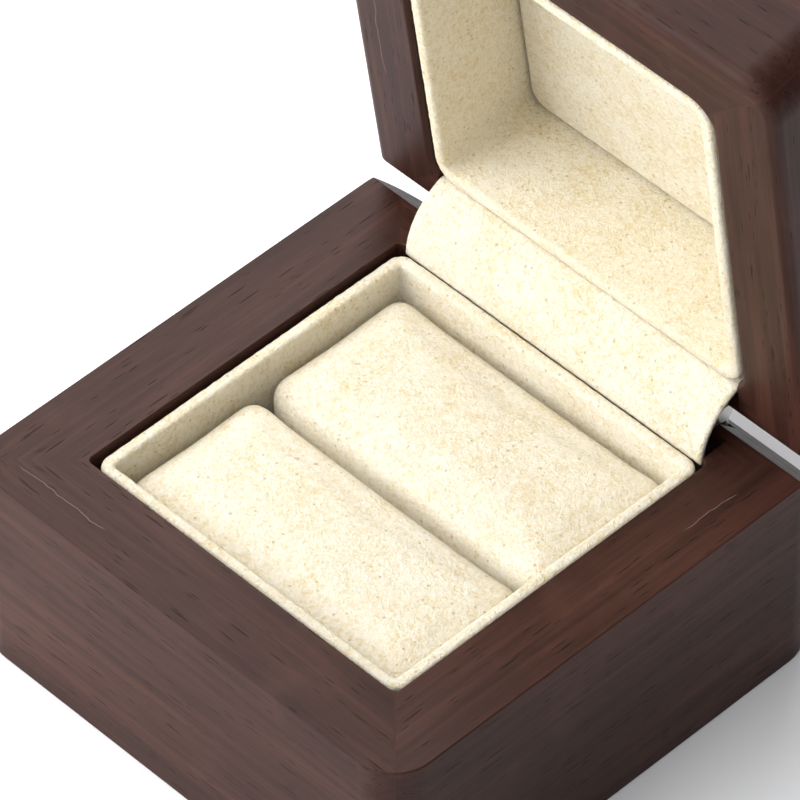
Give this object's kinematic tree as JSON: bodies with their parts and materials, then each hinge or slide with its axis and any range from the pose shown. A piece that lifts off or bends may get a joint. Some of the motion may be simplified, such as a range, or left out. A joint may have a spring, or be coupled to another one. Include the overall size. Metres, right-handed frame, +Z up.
{
  "type": "ring box",
  "caption": "Small square wooden ring box with a hinged lid, a suede lining over card, padded suede cushions with a ring slot between them, and a curved suede flap over the hinge.",
  "frame": {"origin": "centre of the base's flat underside", "axes": "+X along the hinge to the right as seen from the front, +Y to the back where the hinge is, +Z up"},
  "size_m": [0.055, 0.0713, 0.078],
  "materials": {
    "walnut": "satin, dark stained",
    "suede": "matt, short nap",
    "card": "matt grey board",
    "foam": "matt",
    "steel": "satin"
  },
  "bodies": {
    "base": {"base_shell": "walnut", "tray_card": "card", "tray_suede": "suede", "tray_floor_card": "card", "front_pad_foam": "foam", "front_pad_suede": "suede", "rear_pad_foam": "foam", "rear_pad_suede": "suede", "hinge_base_leaf": "steel", "hinge_pin": "steel", "snap_spring": "steel", "base_screw_left": "steel", "base_screw_right": "steel"},
    "lid": {"lid_shell": "walnut", "lid_card": "card", "lid_suede": "suede", "panel_suede": "suede", "panel_foam": "foam", "panel_card": "card", "hinge_lid_leaf": "steel", "flap_suede": "suede", "lid_screw_left": "steel", "lid_screw_right": "steel"}
  },
  "joints": [
    {"name": "lid_hinge", "type": "hinge", "parent": "base", "child": "lid", "pos_m": [0, 0.02485, 0.02362], "axis": [1, 0, 0], "range_deg": [0, 81.6]}
  ]
}
